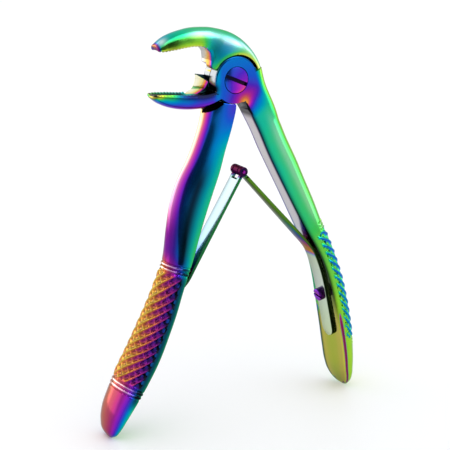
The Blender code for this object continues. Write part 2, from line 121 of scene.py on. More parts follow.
# Forged head stations: back x and z, edge x and z, half width, hollow depth, squareness.
UPPER_FORM = (
    (9.7, 2.5, 6.4, 0.6, 3.85, 0.0, 3.0), (8.95, 4.35, 5.6, 2.4, 3.88, 0.0, 3.0),
    (7.3, 7.4, 4.2, 4.0, 3.88, 0.0, 2.8), (5.2, 10.1, 2.4, 4.8, 3.85, 0.0, 2.4),
    (2.6, 12.3, -0.4, 4.8, 3.88, 0.0, 2.4), (-0.2, 13.9, -4.6, 3.2, 3.88, 0.0, 2.4),
    (-2.6, 14.8, -7.9, 4.2, 3.88, 0.0, 2.4), (-4.8, 15.4, -8.05, 6.4, 3.85, 0.0, 2.4),
    (-7.2, 15.9, -8.4, 8.7, 3.8, 0.1, 2.3), (-10.0, 16.15, -10.2, 10.3, 3.7, 0.4, 2.2),
    (-13.3, 16.2, -12.8, 10.8, 3.6, 0.9, 2.2), (-17.0, 15.7, -16.2, 10.6, 3.4, 1.2, 2.2),
    (-20.1, 14.95, -19.2, 10.25, 3.25, 1.2, 2.2), (-22.6, 13.95, -21.7, 10.0, 3.1, 1.1, 2.2),
    (-24.5, 12.6, -23.7, 9.9, 2.9, 0.8, 2.3), (-25.4, 11.8, -24.9, 10.1, 2.5, 0.3, 2.4),
)
LOWER_FORM = (
    (-1.6, -4.8, -2.8, -2.2, 3.6, 0.0, 3.0), (-6.3, -6.9, -6.6, -3.0, 3.85, 0.0, 3.0),
    (-10.4, -7.95, -10.4, -3.5, 3.8, 0.2, 2.6), (-13.6, -8.05, -13.4, -3.2, 3.65, 0.8, 2.3),
    (-16.8, -7.75, -16.5, -3.0, 3.45, 1.2, 2.2), (-20.1, -7.05, -19.7, -2.6, 3.3, 1.3, 2.2),
    (-23.1, -5.95, -22.7, -2.35, 3.1, 1.1, 2.2), (-25.5, -4.6, -25.2, -2.2, 2.9, 0.7, 2.2),
    (-26.8, -3.4, -26.6, -2.3, 2.4, 0.2, 2.2),
)
RIGHT_NECK = (
    (9.35, 4.4, 4.6, 2.6, 3.9, 0.0, 3.6), (10.1, 1.6, 3.4, 0.2, 3.9, 0.0, 3.6),
    (11.05, -1.4, 2.4, -3.2, 3.9, 0.0, 3.5), (12.4, -4.4, 2.6, -6.2, 3.9, 0.0, 3.3),
    (14.0, -7.4, 4.0, -8.8, 3.85, 0.0, 3.0), (15.6, -10.6, 5.8, -11.4, 3.7, 0.0, 2.6),
    (17.7, -16.0, 8.7, -17.0, 3.3, 0.0, 2.1), (20.5, -23.0, 12.2, -24.0, 2.9, 0.0, 2.0),
)
LOWER_SHOULDER_NEAR = (
    (-4.0, -0.9), (-7.1, -0.3), (-7.7, -1.2), (-8.4, -2.2), (-9.5, -3.0),
    (-10.9, -3.6), (-11.2, -7.2), (-8.3, -7.1), (-6.2, -6.1), (-4.0, -3.8),
)
LOWER_SHOULDER_FAR = (
    (-4.0, 1.2), (-10.2, 2.1), (-10.4, -0.3), (-11.1, -1.9), (-12.1, -3.0),
    (-13.3, -3.55), (-11.6, -7.2), (-8.3, -7.1), (-6.2, -6.1), (-4.0, -3.8),
)
WEB = (
    (0.0, -3.0), (6.5, -3.0), (9.5, -8.5), (6.9, -12.0), (5.6, -10.4), (4.6, -8.4), (3.4, -7.1), (2.0, -6.8),
)
# Underside of the lower beak's root, and the room left for it in the far and the near layer.
ROOT_LINE = ((-12.6, -8.15), (-10.4, -7.95), (-8.3, -7.45), (-6.3, -6.65), (-4.7, -5.7), (-3.6, -4.4))
ROOT_GAP = 0.55
NEAR_ROOT_GAP = 1.5

# Share of a handle's thickness that is flat flank.
FLANK = 0.34

# Film: the dark share in shaded places and in gaps, the laps' pale walls, and how far pale is held down.
SHADE = 0.97
GAP_SHADE = 0.985
WALL_PALE = 0.85
WALL_HOLD = 0.48

# Film along each leaf: distance past its bend, phase, pale and dark; the dark column is painted shade.
LEFT_TEMPER = (
    (-40, 0.80, 0.2, 0.2), (0, 0.10, 0, 0.93), (3.5, 0.08, 0, 0.9), (4.6, 0.2, 0, 0.6), (5.6, 0.40, 0, 0.2),
    (7.5, 0.49, 0, 0.2), (11, 0.54, 0.15, 0.3), (15, 0.59, 0.35, 0.38), (22, 0.62, 0.5, 0.45),
    (36, 0.63, 0.6, 0.45),
)
RIGHT_TEMPER = (
    (-40, 0.93, 0.25, 0), (-12, 0.80, 0.75, 0), (-3, 0.85, 0.6, 0), (-1, 0.02, 0, 0.3), (1, 0.10, 0, 0.35),
    (3, 0.24, 0, 0.4), (5.5, 0.42, 0, 0.45), (8, 0.54, 0, 0.5), (12, 0.68, 0, 0.6), (17, 0.84, 0, 0.72),
    (28, 0.87, 0, 0.76), (38, 0.80, 0, 0.8),
)

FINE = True
VOXEL = 0.14 if FINE else 0.3
CORNERS = ((-1, -1), (1, -1), (1, 1), (-1, 1))


# ---- curves and meshes


def smooth_stations(stations, count):
    """Points on a smooth curve through the stations, evenly spaced in the plane of the first two."""
    known = np.array(stations, dtype=float)
    along = lengths(known[:, :2])
    slopes = np.gradient(known, along, axis=0)
    s = np.linspace(0.0, along[-1], count)
    i = np.clip(np.searchsorted(along, s, side="right") - 1, 0, len(known) - 2)
    width = (along[i + 1] - along[i])[:, None]
    t = (s - along[i])[:, None] / width
    a = (1 + 2 * t) * (1 - t) ** 2
    b = t * (1 - t) ** 2 * width
    c = t * t * (3 - 2 * t)
    d = t * t * (t - 1) * width
    return a * known[i] + b * slopes[i] + c * known[i + 1] + d * slopes[i + 1]


def across(curve):
    """Unit normals of a curve in the XZ plane, a quarter turn anticlockwise from its tangents."""
    tangent = np.gradient(curve, axis=0)
    tangent /= np.hypot(*tangent.T)[:, None]
    return np.column_stack([-tangent[:, 1], tangent[:, 0]])


def placed(name, mesh):
    """An object in the scene for a mesh or a camera."""
    obj = bpy.data.objects.new(name, mesh)
    bpy.context.scene.collection.objects.link(obj)
    return obj


def make(name, points, faces):
    """A mesh object in metres in the frame, from points in millimetres about the pivot."""
    mesh = bpy.data.meshes.new(name)
    world = np.array(points, dtype=float) * MM + np.array(PIVOT)
    mesh.from_pydata(world.tolist(), [], faces)
    mesh.validate()
    return outward(placed(name, mesh))


def outward(obj):
    """Turns a closed mesh's faces outward."""
    bm = bmesh.new()
    bm.from_mesh(obj.data)
    bmesh.ops.recalc_face_normals(bm, faces=bm.faces)
    if bm.calc_volume(signed=True) < 0:
        bmesh.ops.reverse_faces(bm, faces=bm.faces)
    bm.to_mesh(obj.data)
    bm.free()
    return obj


def loft(name, rings, closed_ends=True):
    """A tube through rings of equal length, each an array of (x, y, z)."""
    rings = np.array(rings)
    rows, cols = rings.shape[:2]
    faces = []
    for r in range(rows - 1):
        for c in range(cols):
            n = (c + 1) % cols
            faces.append((r * cols + c, r * cols + n, (r + 1) * cols + n, (r + 1) * cols + c))
    if closed_ends:
        faces.append(tuple(range(cols)))
        faces.append(tuple((rows - 1) * cols + c for c in range(cols)))
    return make(name, rings.reshape(-1, 3), faces)


def prism(name, outline, low, high):
    """An outline in the XZ plane, extruded along Y."""
    return loft(name, [[(x, y, z) for x, z in outline] for y in (low, high)])


def turned(name, profile, centre=(0.0, 0.0), sides=96, closed_ends=True):
    """A solid turned about an axis along Y, from (radius, y) points."""
    angle = np.linspace(0.0, 2 * math.pi, sides, endpoint=False)
    rings = []
    for radius, y in profile:
        x = centre[0] + radius * np.cos(angle)
        z = centre[1] + radius * np.sin(angle)
        rings.append(np.column_stack([x, np.full(sides, y), z]))
    return loft(name, rings, closed_ends)


def rod(name, radius, low=-OUT, high=OUT, centre=(0.0, 0.0), sides=96):
    """A cylinder along Y."""
    return turned(name, [(radius, low), (radius, high)], centre, sides)


def lengths(curve):
    """Distance along a curve at each of its points."""
    return np.concatenate([[0.0], np.cumsum(np.hypot(*np.diff(curve, axis=0).T))])


def form_loft(name, stations, rings=90, crown=33, floor=13):
    """A forged form between a back curve and an edge curve, hollow along its edge side."""
    curve = smooth_stations(stations, rings)
    angles = np.linspace(-math.pi / 2, math.pi / 2, crown)
    hollow = np.linspace(0.82, -0.82, floor)
    out = []
    for bx, bz, ex, ez, half, deep, square in curve:
        up = np.array([bx - ex, bz - ez])
        tall = np.hypot(*up)
        up = up / tall
        bend = 2 / square
        base = 0.2 * tall
        crown_h = base + (tall - base) * np.cos(angles).clip(0) ** bend
        crown_w = half * np.sign(angles) * np.abs(np.sin(angles)) ** bend
        floor_h = deep * (1 - (hollow / 0.82) ** 2)
        height = np.concatenate([crown_h, floor_h])
        width = np.concatenate([crown_w, half * hollow])
        out.append(np.column_stack([ex + up[0] * height, width, ez + up[1] * height]))
    return loft(name, out)


def handle_rows(stations, side, count=200, crown=41, floor=13):
    """Rings of a handle: flat inner face, flat flanks and a crowned back."""
    curve = smooth_stations(stations, count)
    normal = across(curve[:, :2])
    normal = normal * side
    angles = np.linspace(-math.pi / 2, math.pi / 2, crown)
    inner = np.linspace(0.95, -0.95, floor)
    rings = []
    for (x, z, thick, half), n in zip(curve, normal):
        flank = FLANK * thick
        crown_d = flank + (thick - flank) * np.cos(angles).clip(0)
        heel = [0.035 * thick]
        depth = np.concatenate([heel, crown_d, heel, np.zeros(floor)])
        width = np.concatenate([[-half], half * np.sin(angles), [half], half * inner])
        rings.append(np.column_stack([x + n[0] * depth, width, z + n[1] * depth]))
    return np.array(rings)


# ---- mesh operations


def evaluated(obj):
    """obj with its modifiers applied."""
    graph = bpy.context.evaluated_depsgraph_get()
    mesh = bpy.data.meshes.new_from_object(obj.evaluated_get(graph))
    old = obj.data
    obj.modifiers.clear()
    obj.data = mesh
    bpy.data.meshes.remove(old)
    return obj


def join(name, objects):
    """One object holding the meshes of several."""
    bm = bmesh.new()
    for obj in objects:
        bm.from_mesh(obj.data)
        bpy.data.objects.remove(obj)
    mesh = bpy.data.meshes.new(name)
    bm.to_mesh(mesh)
    bm.free()
    return placed(name, mesh)


def fuse(name, objects):
    """Solids run together as in a forging, with soft transitions."""
    made = join(name, objects)
    remesh = made.modifiers.new("remesh", "REMESH")
    remesh.mode = "VOXEL"
    remesh.voxel_size = VOXEL * MM
    smooth = made.modifiers.new("smooth", "SMOOTH")
    smooth.factor = 0.5
    smooth.iterations = 14
    return evaluated(made)


def soften(obj, centre, reach):
    """Extra smoothing round one place, fading out over its reach."""
    points = vertex_data(obj)[0]
    share = hump(np.hypot(points[:, 0] - centre[0], points[:, 2] - centre[1]), 0, reach)
    group = obj.vertex_groups.new(name="soften")
    steps = 20
    for step in range(1, steps + 1):
        chosen = np.flatnonzero(np.ceil(share * steps) == step)
        group.add(chosen.tolist(), step / steps, "REPLACE")
    modifier = obj.modifiers.new("soften", "SMOOTH")
    modifier.factor = 0.5
    modifier.iterations = 120 if FINE else 20
    modifier.vertex_group = group.name
    evaluated(obj)
    obj.vertex_groups.clear()
    return obj


def combine(obj, tool, operation="DIFFERENCE"):
    """Cuts a tool out of obj, or joins it, and removes the tool."""
    change = obj.modifiers.new("cut", "BOOLEAN")
    change.operation = operation
    change.solver = "MANIFOLD"
    change.object = tool
    evaluated(obj)
    bpy.data.objects.remove(tool)
    return obj


def polish(obj, angle=32.0):
    """Smooth shading with creases at machined edges."""
    obj.data.shade_smooth()
    obj.data.set_sharp_from_angle(angle=math.radians(angle))


# ---- levers


def ray(angle):
    """Unit vector in the XZ plane at an angle from +X."""
    return np.array([math.cos(math.radians(angle)), math.sin(math.radians(angle))])


def off_laps(tool, gap=OFF_LAPS):
    """Keeps a cutter off the laps' round wall."""
    return combine(tool, rod(tool.name + "_core", DISC_RADIUS + gap, -OUT - 0.5, OUT + 0.5))


def relief_tool():
    """Room for the lower beak's root at the left handle's top, deeper in the near layer."""
    room = [(-3.6, -1.0), (-12.6, -1.0)]
    tool = prism("relief", [(x, z - ROOT_GAP) for x, z in ROOT_LINE] + room, 1 - OUT, OUT - 1)
    deeper = [(x, z - NEAR_ROOT_GAP) for x, z in ROOT_LINE] + room
    combine(tool, prism("deeper", deeper, -OUT, -LAP_GAP / 2), "UNION")
    return off_laps(tool, 0.1)


def radial_tool(name, angle, side, low, high):
    """Cutter of what lies on one side of a ray left of the pivot, outside the laps."""
    line = [ray(angle) * 14.0, ray(angle) * 6.5]
    return off_laps(prism(name, line + [(-6.5, side), (-15.0, side)], low, high))


def teeth_tool(stations, first, last, pitch=1.05, depth=0.75):
    """Fine grooves across a beak's edges between two fractions of its length."""
    curve = smooth_stations(stations, 400)
    edge, back = curve[:, 2:4], curve[:, 0:2]
    along = lengths(edge)
    low, reach, side = 0.9, pitch * 0.62, 6.0
    points, faces = [], []
    for spot in np.arange(along[-1] * first, along[-1] * last, pitch):
        e, b = (np.array([np.interp(spot, along, line[:, i]) for i in (0, 1)]) for line in (edge, back))
        up = (b - e) / np.hypot(*(b - e))
        run = np.array([up[1], -up[0]])
        a = len(points)
        for y in (-side, side):
            for corner in (e + up * depth, e - run * reach - up * low, e + run * reach - up * low):
                points.append((corner[0], y, corner[1]))
        faces += [(a, a + 1, a + 2), (a + 5, a + 4, a + 3)]
        faces += [(a, a + 3, a + 4, a + 1), (a + 1, a + 4, a + 5, a + 2), (a + 2, a + 5, a + 3, a)]
    return make("teeth", points, faces)


def section(points, curve, up, tall, half):
    """Index of the section nearest to each point of a swept form, and the angle round that section."""
    mid = curve + up * tall[:, None] / 2
    best = np.zeros(len(points), dtype=int)
    chunk = 20000
    for start in range(0, len(points), chunk):
        p = points[start:start + chunk]
        away = (p[:, 0:1] - mid[:, 0]) ** 2 + (p[:, 2:3] - mid[:, 1]) ** 2
        best[start:start + chunk] = np.argmin(away, axis=1)
    off = points[:, [0, 2]] - mid[best]
    depth = np.einsum("ij,ij->i", off, up[best]) / (tall[best] / 2)
    return best, np.degrees(np.arctan2(points[:, 1] / half[best], depth))


def handle_section(points, stations, side):
    """Distance from the pivot, angle round the section (0 the back, -90 the near flank), arc, half width."""
    curve = smooth_stations(stations, 500)
    normal = across(curve[:, :2])
    best, psi = section(points, curve[:, :2], normal * side, curve[:, 2], curve[:, 3])
    along = lengths(curve[:, :2])
    return np.hypot(curve[best, 0], curve[best, 1]), psi, along[best], curve[best, 3]


def form_section(points, stations):
    """Place along a forged head's form and angle round its section."""
    curve = smooth_stations(stations, 300)
    edge = curve[:, 2:4]
    up = curve[:, 0:2] - edge
    tall = np.hypot(*up.T)
    best, psi = section(points, edge, up / tall[:, None], tall, curve[:, 4])
    return best / (len(curve) - 1), psi


def rise(value, low, high):
    """0 below low, 1 above high, and a smooth rise between."""
    t = np.clip((value - low) / (high - low), 0, 1)
    return t * t * (3 - 2 * t)


def span(value, start, full, fall, end):
    """1 from full to fall, 0 before the start and past the end, and smooth between."""
    return rise(value, start, full) * (1 - rise(value, fall, end))


def mixed(old, new, share):
    """old where share is 0, new where it is 1."""
    return old * (1 - share) + new * share


def vertex_data(obj):
    """Vertices in millimetres about the pivot, and their normals."""
    count = len(obj.data.vertices)
    co = np.empty(count * 3)
    obj.data.vertices.foreach_get("co", co)
    normals = np.empty(count * 3)
    obj.data.vertex_normals.foreach_get("vector", normals)
    return (co.reshape(-1, 3) - np.array(PIVOT)) / MM, normals.reshape(-1, 3)


def knurl(points, stations, side, rings, ring_edge):
    """Height of the knurling and of the turned rings at each point of a handle, and the knurl's share."""
    s, psi, along, half = handle_section(points, stations, side)
    first, last = rings
    arc = np.radians(psi) * half * 0.82
    lean = math.radians(43.0)
    pitch = KNURL_PITCH * math.cos(lean)
    t = (along * math.cos(lean) - arc * math.sin(lean)) / pitch
    u = (along * math.cos(lean) + arc * math.sin(lean)) / pitch
    t, u = t - np.round(t), u - np.round(u)
    line = np.clip(1 - np.abs(t) / 0.38, 0, 1)
    crossing = 0.6 * np.clip(1 - np.abs(u) / 0.36, 0, 1)
    ridge = np.maximum(line, crossing)
    edge = 112 - 12 * (line < crossing)
    mask = 1 - rise(np.abs(psi), edge - 6, edge + 6)
    mask *= span(s, first + 1.5, first + 2.3, last - 2.3, last - 1.5)
    height = mask * (ridge * 0.75 - 0.42)
    crown = 1 - rise(np.abs(psi), ring_edge - 9, ring_edge + 9)
    for centre in rings:
        for shift in (-0.62, 0.62):
            height += crown * 0.16 * np.exp(-(((s - centre - shift) / 0.3) ** 2))
        for shift in (-1.2, 0.0, 1.2):
            height -= crown * 0.3 * np.exp(-(((s - centre - shift) / 0.25) ** 2))
    bead = crown * sum(hump(s, centre + shift, 0.25) for centre in rings for shift in (-0.62, 0.62))
    return height, mask, ridge, np.sin(2 * math.pi * t), bead


def emboss(obj, stations, side, rings, ring_edge):
    """Raises the knurl and rings of a handle and returns their shares for its colour."""
    points, normals = vertex_data(obj)
    height, mask, ridge, flank, bead = knurl(points, stations, side, rings, ring_edge)
    grip = points[:, 2] < -30
    moved = points + normals * (grip * height)[:, None]
    world = moved * MM + np.array(PIVOT)
    obj.data.vertices.foreach_set("co", world.ravel())
    obj.data.update()
    return grip * mask, ridge, flank, grip * bead


def shoulder_end(name, angle, side, low, high):
    """Cutter of everything on one side of a ray from the pivot, right of the laps."""
    inner, outer = ray(angle) * 5.5, ray(angle) * 14.0
    wide = ray(angle + 90.0) * side * 5.0
    return prism(name, [inner, outer, outer + wide, inner + wide], low, high)


def rounded_rim(rim, face):
    """Outline of a lap's rounded edge, from its wall to its face at y = face."""
    inward = math.copysign(rim, -face)
    turns = np.linspace(0, math.pi / 2, 7)
    return [(DISC_RADIUS - rim * (1 - math.cos(a)), face + inward * (1 - math.sin(a))) for a in turns]


def lip_tool():
    """Cutter of the bevel along the near edge of the upper lever's seat."""
    near = -JOINT_HALF
    wide = SEAT_RADIUS + 0.95
    ring = [(wide, near - 3.0), (wide, near - 0.05), (SEAT_RADIUS - 0.1, near + 0.42)]
    lip = turned("lip", ring, sides=ROUND)
    combine(lip, prism("lip_end", [(-12.0, 2.6), (12.0, -5.0), (12.0, -14.0), (-12.0, -14.0)], -OUT, 3.0))
    return combine(lip, prism("lip_gap", [(0.6, 0.0), (14.0, 0.0), (14.0, 14.0), (0.6, 14.0)], -OUT, 3.0))


def upper_head():
    """Upper beak, shoulder, far lap and the left handle."""
    parts = [
        form_loft("crescent", UPPER_FORM),
        loft("shank", handle_rows(LEFT_HANDLE, -1)),
        turned("lap", [(DISC_RADIUS, -1.0)] + rounded_rim(0.7, JOINT_HALF)),
    ]
    head = fuse("upper_lever_forging", parts)
    below = -JOINT_HALF - 3.0
    combine(head, rod("seat", SEAT_RADIUS, below, LAP_GAP / 2, sides=ROUND))
    combine(head, lip_tool())
    combine(head, shoulder_end("tip_end", STOP_ANGLE + 1.0, -1, -OUT, LAP_GAP / 2))
    combine(head, rod("clearance", SEAT_RADIUS, below, LAP_GAP / 2, ray(20) * 0.62, ROUND))
    combine(head, relief_tool())
    combine(head, radial_tool("throat_end", THROAT_END_ANGLE, 0.5, 0.0, OUT))
    combine(head, off_laps(shoulder_end("far_end", STOP_ANGLE - 1.9, -1, LAP_GAP / 2, OUT), OFF_LAPS / 2))
    shank_edge = [(0.05, -5.0), (3.0, -5.0), (3.0, -11.0), (0.05, -11.0)]
    combine(head, off_laps(prism("shank_edge", shank_edge, -OUT, OUT)))
    combine(head, rod("bore", BORE_RADIUS))
    return combine(head, teeth_tool(UPPER_FORM, 0.6, 0.985))


def lower_head():
    """Lower beak, near lap and the right handle."""
    near = -JOINT_HALF
    parts = [
        form_loft("jaw", LOWER_FORM),
        form_loft("neck", RIGHT_NECK, rings=50),
        loft("shank", handle_rows(RIGHT_HANDLE, 1)),
        loft("shoulder", [
            [(x, 0.2, z) for x, z in LOWER_SHOULDER_NEAR],
            [(x, JOINT_HALF - 0.2, z) for x, z in LOWER_SHOULDER_FAR],
        ]),
        turned("lap", [(0.3, near)] + rounded_rim(0.4, near)[::-1] + [(DISC_RADIUS, 0.6)]),
        prism("web", WEB, near + 0.02, JOINT_HALF - 0.1),
    ]
    head = soften(fuse("lower_lever_forging", parts), NECK_JOIN, 5.0)
    combine(head, rod("seat", SEAT_RADIUS, -LAP_GAP / 2, OUT, sides=ROUND))
    neck_end = shoulder_end("neck_end", STOP_ANGLE - 2.5, 1, -OUT, OUT)
    combine(neck_end, rod("neck_core", DISC_RADIUS, -OUT - 0.5, -LAP_GAP / 2, sides=ROUND))
    combine(head, neck_end)
    combine(head, radial_tool("shoulder_top", SHOULDER_TOP_ANGLE, 7.0, 0.1, OUT))
    combine(head, off_laps(prism("crotch", CROTCH_LINE, -OUT, OUT)))
    wall = HEAD_RADIUS + HEAD_GAP
    sunk = [(wall + 0.35, near - 1.0), (wall + 0.12, near), (wall, near + 0.16), (wall, near + HEAD_DEPTH)]
    combine(head, turned("head_seat", sunk))
    combine(head, rod("bore", BORE_RADIUS))
    return combine(head, teeth_tool(LOWER_FORM, 0.475, 0.985))


# ---- small parts


def rounded_box_rings(points, thick, halves, corner=0.2):
    """Rings of a strip with rounded edges, following points in the XZ plane."""
    points = np.array(points)
    normal = across(points)
    rings = []
    for (x, z), n, half in zip(points, normal, halves):
        ring = []
        r = min(corner, half * 0.6)
        for cd, cy, start in ((1, 1, 0), (-1, 1, 90), (-1, -1, 180), (1, -1, 270)):
            for step in (0, 30, 60, 90):
                a = math.radians(start + step)
                d = cd * (thick / 2 - r) + r * math.cos(a)
                y = cy * (half - r) + r * math.sin(a)
                ring.append((x + n[0] * d, y, z + n[1] * d))
        rings.append(ring)
    return rings


def inner_face(stations, side):
    """Finely spaced points of a handle's inner face, and the normals towards the other handle."""
    curve = smooth_stations(stations, 900)[:, :2]
    return curve, -across(curve) * side


def leaf_path(stations, side, stand_off):
    """The middle of a leaf, from its loose end up the handle and across to the hinge."""
    curve, inward = inner_face(stations, side)
    radius = np.hypot(*curve.T)
    lift = LEAF_GAP + LEAF_THICK / 2
    foot = (radius >= FLEX_RADIUS + 1.2) & (radius <= FOOT_END_RADIUS)
    lie = (curve + inward * lift)[foot][::-1][::12]
    flex_index = int(np.argmin(abs(radius - FLEX_RADIUS)))
    start = curve[flex_index] + inward[flex_index] * (lift + stand_off)
    chord = np.array(APEX) - start
    aside = np.array([chord[1], -side * abs(chord[0])]) / np.hypot(*chord)
    end = np.array(APEX) + 0.35 * aside
    way = (end - start) / np.hypot(*(end - start))
    reach = np.hypot(*(end - start))
    blade = [start + way * d for d in np.linspace(2.2, reach - KNUCKLE_RADIUS + 0.2, 12)]
    return smooth_stations(np.vstack([lie, blade]), 150), start, way


def barrel(name, low, high, play):
    """One knuckle of the hinge: a rolled eye round the pin."""
    r, bore, ease = KNUCKLE_RADIUS, PIN_RADIUS + play, 0.16
    eye = [(bore, low), (r - ease, low), (r, low + ease), (r, high - ease), (r - ease, high), (bore, high)]
    tube = turned(name, eye + [(bore, low)], APEX, 40, closed_ends=False)
    bm = bmesh.new()
    bm.from_mesh(tube.data)
    bmesh.ops.remove_doubles(bm, verts=bm.verts, dist=1e-7)
    bm.to_mesh(tube.data)
    bm.free()
    return outward(tube)


def leaf(name, stations, side, fingers, gaps, stand_off, taper_by, play):
    """A leaf spring in one strip: rounded foot, bend, blade and its fingers of the hinge."""
    path, start, way = leaf_path(stations, side, stand_off)
    along = lengths(path)
    round_end = np.clip(1 - (1 - along / LEAF_HALF).clip(0) ** 2, 0.03, 1) ** 0.5
    taper = 1 - taper_by * rise(along, 34.0, along[-1])
    strip = loft(name, rounded_box_rings(path, LEAF_THICK, LEAF_HALF * round_end * taper))
    for low, high in gaps:
        size = KNUCKLE_RADIUS + 0.9
        box = [(APEX[0] + size * i, APEX[1] + size * j) for i, j in CORNERS]
        combine(strip, prism(name + "_gap", box, low, high))
    for low, high in fingers:
        combine(strip, barrel(name + "_eye", low, high, play), "UNION")
    return strip, start, way


def aimed(obj, origin, direction):
    """Turns a shape made along +Y at the pivot to stand along a direction on a point of the XZ plane."""
    aim = Vector((direction[0], 0.0, direction[1])).normalized()
    turn = Vector((0.0, 1.0, 0.0)).rotation_difference(aim).to_matrix().to_4x4()
    place = Matrix.Translation(PIVOT + Vector((origin[0], 0.0, origin[1])) * MM)
    obj.data.transform(place @ turn @ Matrix.Translation(-PIVOT))
    return outward(obj)


def slot_tool(name, width, bottom, length, angle, top, chamfer=0.12):
    """Cutter of a driver slot across the origin, with eased mouth edges at y = top."""
    half = width / 2
    way = math.copysign(1.0, top)
    edge = [(half, bottom), (half, top - way * chamfer)]
    edge += [(half + chamfer, top), (half + 2 * chamfer, top + 2 * way)]
    outline = [(-half, bottom)] + edge + [(-z, y) for z, y in edge[:0:-1]]
    c, s = ray(angle)
    rings = []
    for x in (-length, length):
        rings.append([(x * c + z * s, y, -x * s + z * c) for z, y in outline])
    return loft(name, rings)


def pivot_screw():
    """Slotted screw, flush with the near face, its shank's end just below the far face."""
    near = -JOINT_HALF
    r = HEAD_RADIUS
    seat = near + HEAD_DEPTH - 0.1
    profile = [(r - 0.14, near), (r - 0.03, near + 0.05), (r, near + 0.16), (r, seat)]
    shank = BORE_RADIUS - 0.1
    profile += [(shank, seat), (shank, 3.45), (shank - 0.25, 3.72)]
    screw = turned("pivot_screw_slotted", profile, sides=128)
    combine(screw, slot_tool("slot", 1.02, near + 0.9, 6.0, SLOT_ANGLE, near))
    polish(screw, 25)
    (x, y, z), _ = (grid.T for grid in vertex_data(screw))
    low_right = hump(np.hypot(x - 3.0, z + 5.2), 0, 4.0)
    # Painted shade in the slot.
    shaded_slot = (y > near + 0.08) & (y < near + 1.2) & (np.hypot(x, z) < r + 0.2)
    paint(screw, 0.46 - 0.34 * low_right - 0.012 * x, 0 * x, np.where(shaded_slot, SHADE, 0.0))
    return screw


def spring_screw(name, stations, side):
    """Cheese-head screw standing on a leaf's foot."""
    curve, inward = inner_face(stations, side)
    i = int(np.argmin(abs(np.hypot(*curve.T) - SPRING_SCREW_RADIUS)))
    base = LEAF_GAP + LEAF_THICK
    top = 2.75
    r = 2.1
    profile = [(1.0, -3.4), (1.0, base - 0.02), (r - 0.12, base - 0.02), (r, base + 0.1)]
    profile += [(r, top - 0.32), (r - 0.1, top - 0.12), (r - 0.32, top), (0.4, top + 0.02)]
    screw = turned(name, profile, sides=64)
    combine(screw, slot_tool(name + "_slot", 0.7, top - 0.75, 4.0, -20, top, 0.08))
    aimed(screw, curve[i], inward[i])
    polish(screw, 25)
    _, n = vertex_data(screw)
    # Painted shade on the head's sides, none on its top face.
    facing = rise(np.abs(n[:, [0, 2]] @ inward[i]), 0.5, 0.9)
    paint(screw, 0.33 + 0.05 * n[:, 2] - 0.03 * n[:, 0], 0 * facing, 0.88 - 0.75 * facing)
    return screw


def hinge_pin():
    """Pin through the knuckles, with peened ends."""
    half = [(PIN_RADIUS, 2.9), (0.5, 3.0), (0.3, 3.08)]
    pin = turned("hinge_pin_peened", [(r, -y) for r, y in half[::-1]] + half, APEX, 32)
    _, n = vertex_data(pin)
    paint(pin, 0.3 + 0.03 * n[:, 0], 0 * n[:, 0], np.full(len(n), 0.35))
    polish(pin)
    return pin


# ---- film colours


AROUND = (-180, -148, -139, -130, -118, -100, -80, -60, -48, -36, -22, -8, 5, 25, 60, 100, 140, 180)
# Film phase in hundredths: rows by distance from the pivot (handles) or by place on the form in
# hundredths (heads), columns by angle round the section.
LEFT_FILM = (
    (8, (80, 70, 50, 44, 46, 50, 53, 53, 44, 28, 12, 3, 0, 0, 10, 32, 62, 80)),
    (24, (80, 82, 76, 68, 62, 57, 55, 53, 44, 32, 22, 13, 6, 2, 12, 35, 62, 80)),
    (42, (80, 84, 78, 70, 64, 60, 56, 50, 42, 33, 28, 24, 20, 15, 16, 35, 62, 80)),
    (54, (80, 86, 82, 74, 66, 61, 57, 49, 42, 38, 35, 33, 31, 28, 26, 40, 62, 80)),
    (62, (84, 86, 82, 68, 58, 46, 36, 28, 24, 20, 14, 7, 3, 2, 14, 38, 62, 84)),
    (94, (84, 86, 82, 70, 58, 47, 37, 28, 24, 20, 14, 9, 6, 4, 14, 38, 62, 84)),
    (101, (80, 82, 78, 70, 60, 48, 38, 30, 26, 22, 19, 17, 15, 13, 18, 38, 62, 80)),
)
RIGHT_FILM = (
    (8, (22, 22, 40, 42, 44, 49, 54, 64, 76, 86, 90, 93, 94, 90, 72, 55, 40, 22)),
    (15, (22, 22, 60, 67, 68, 69, 70, 72, 76, 86, 91, 93, 94, 90, 72, 55, 40, 22)),
    (24, (22, 22, 60, 70, 71, 72, 73, 75, 78, 83, 88, 92, 93, 90, 72, 55, 40, 22)),
    (34, (22, 22, 56, 69, 71, 73, 74, 76, 78, 81, 86, 91, 92, 90, 74, 58, 40, 22)),
    (50, (30, 30, 70, 73, 74, 75, 76, 77, 79, 82, 85, 89, 91, 88, 76, 62, 46, 30)),
    (66, (88, 88, 78, 80, 80, 80, 80, 80, 80, 82, 85, 88, 90, 88, 78, 66, 70, 88)),
    (90, (93, 92, 92, 86, 84, 84, 84, 84, 84, 85, 86, 88, 90, 88, 80, 70, 74, 93)),
    (104, (94, 93, 93, 88, 86, 86, 86, 86, 86, 88, 90, 92, 93, 90, 84, 76, 80, 94)),
)
HEAD_AROUND = (-180, -145, -125, -105, -85, -65, -45, -25, 0, 40, 90, 140, 180)
